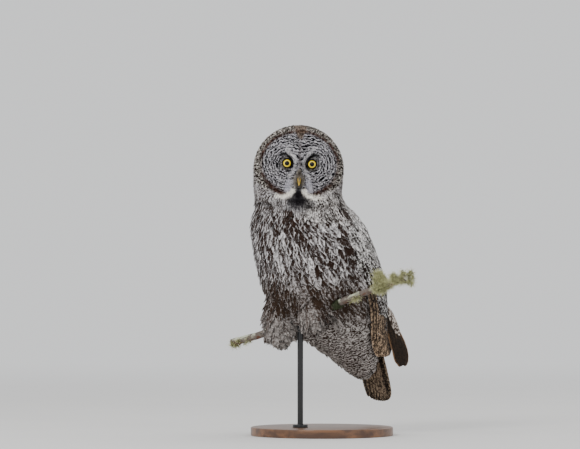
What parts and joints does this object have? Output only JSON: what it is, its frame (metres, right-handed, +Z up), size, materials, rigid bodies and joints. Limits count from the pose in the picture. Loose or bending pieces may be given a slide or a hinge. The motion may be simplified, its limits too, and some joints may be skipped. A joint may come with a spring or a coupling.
{
  "type": "great grey owl",
  "caption": "Life-size still model of a great grey owl on a short cut branch, head turned to the viewer, carried by a flat round base and one upright rod.",
  "frame": {"origin": "middle of the underside of the stand's round base", "axes": "+Z up, the face looks along -Y, and the chest points 40 degrees from -Y towards -X"},
  "size_m": [0.3813, 0.4242, 0.6517],
  "materials": {
    "plumage": "soft contour feathers, grey with dark brown streaks and fine bars",
    "flight_feathers": "firm vanes, dark brown with pale vermiculation and buff streaks",
    "eye": "clear wet cornea over a yellow iris and black pupil",
    "bill": "smooth horn, yellow",
    "claw": "smooth horn, near black",
    "bark": "rough grey-brown bark with pale lichen",
    "stand_wood": "dark oiled hardwood",
    "stand_steel": "satin black enamel"
  },
  "bodies": {
    "root": {"head": "plumage", "neck": "plumage", "trunk": "plumage", "leg_left": "plumage", "leg_right": "plumage", "foot_left": "plumage", "foot_right": "plumage", "wing_left": "flight_feathers", "wing_right": "flight_feathers", "primaries_left": "flight_feathers", "primaries_right": "flight_feathers", "tail": "flight_feathers", "eye_left": "eye", "eye_right": "eye", "bill_upper": "bill", "bill_lower": "bill", "claw_left_inner": "claw", "claw_left_middle": "claw", "claw_left_outer": "claw", "claw_left_hallux": "claw", "claw_right_inner": "claw", "claw_right_middle": "claw", "claw_right_outer": "claw", "claw_right_hallux": "claw", "perch": "bark", "stand_base": "stand_wood", "stand_rod": "stand_steel"}
  },
  "joints": []
}
